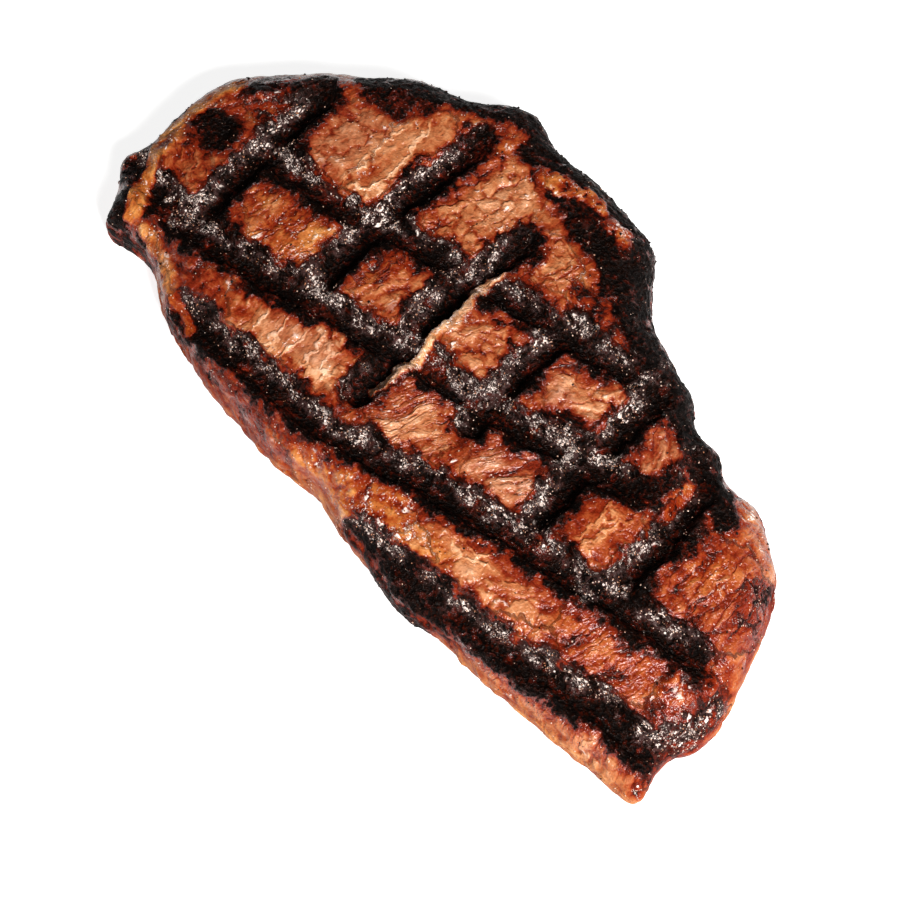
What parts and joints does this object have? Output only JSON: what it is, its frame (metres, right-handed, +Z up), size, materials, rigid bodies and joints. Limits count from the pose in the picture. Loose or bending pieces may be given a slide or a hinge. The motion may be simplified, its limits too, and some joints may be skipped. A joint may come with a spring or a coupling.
{
  "type": "grilled beef steak",
  "caption": "Thick boneless grilled beef steak, oval with a narrow tip and a fat edge, crossed by charred grill marks, resting flat.",
  "frame": {"origin": "on the resting plane, under the middle of the steak's box", "axes": "+X along the length towards the narrow tip, +Y towards the charred fat edge, +Z up"},
  "size_m": [0.1992, 0.1052, 0.0245],
  "materials": {
    "browned_beef": "oily, charred along the grill marks"
  },
  "bodies": {
    "root": {"grilled_steak": "browned_beef"}
  },
  "joints": []
}
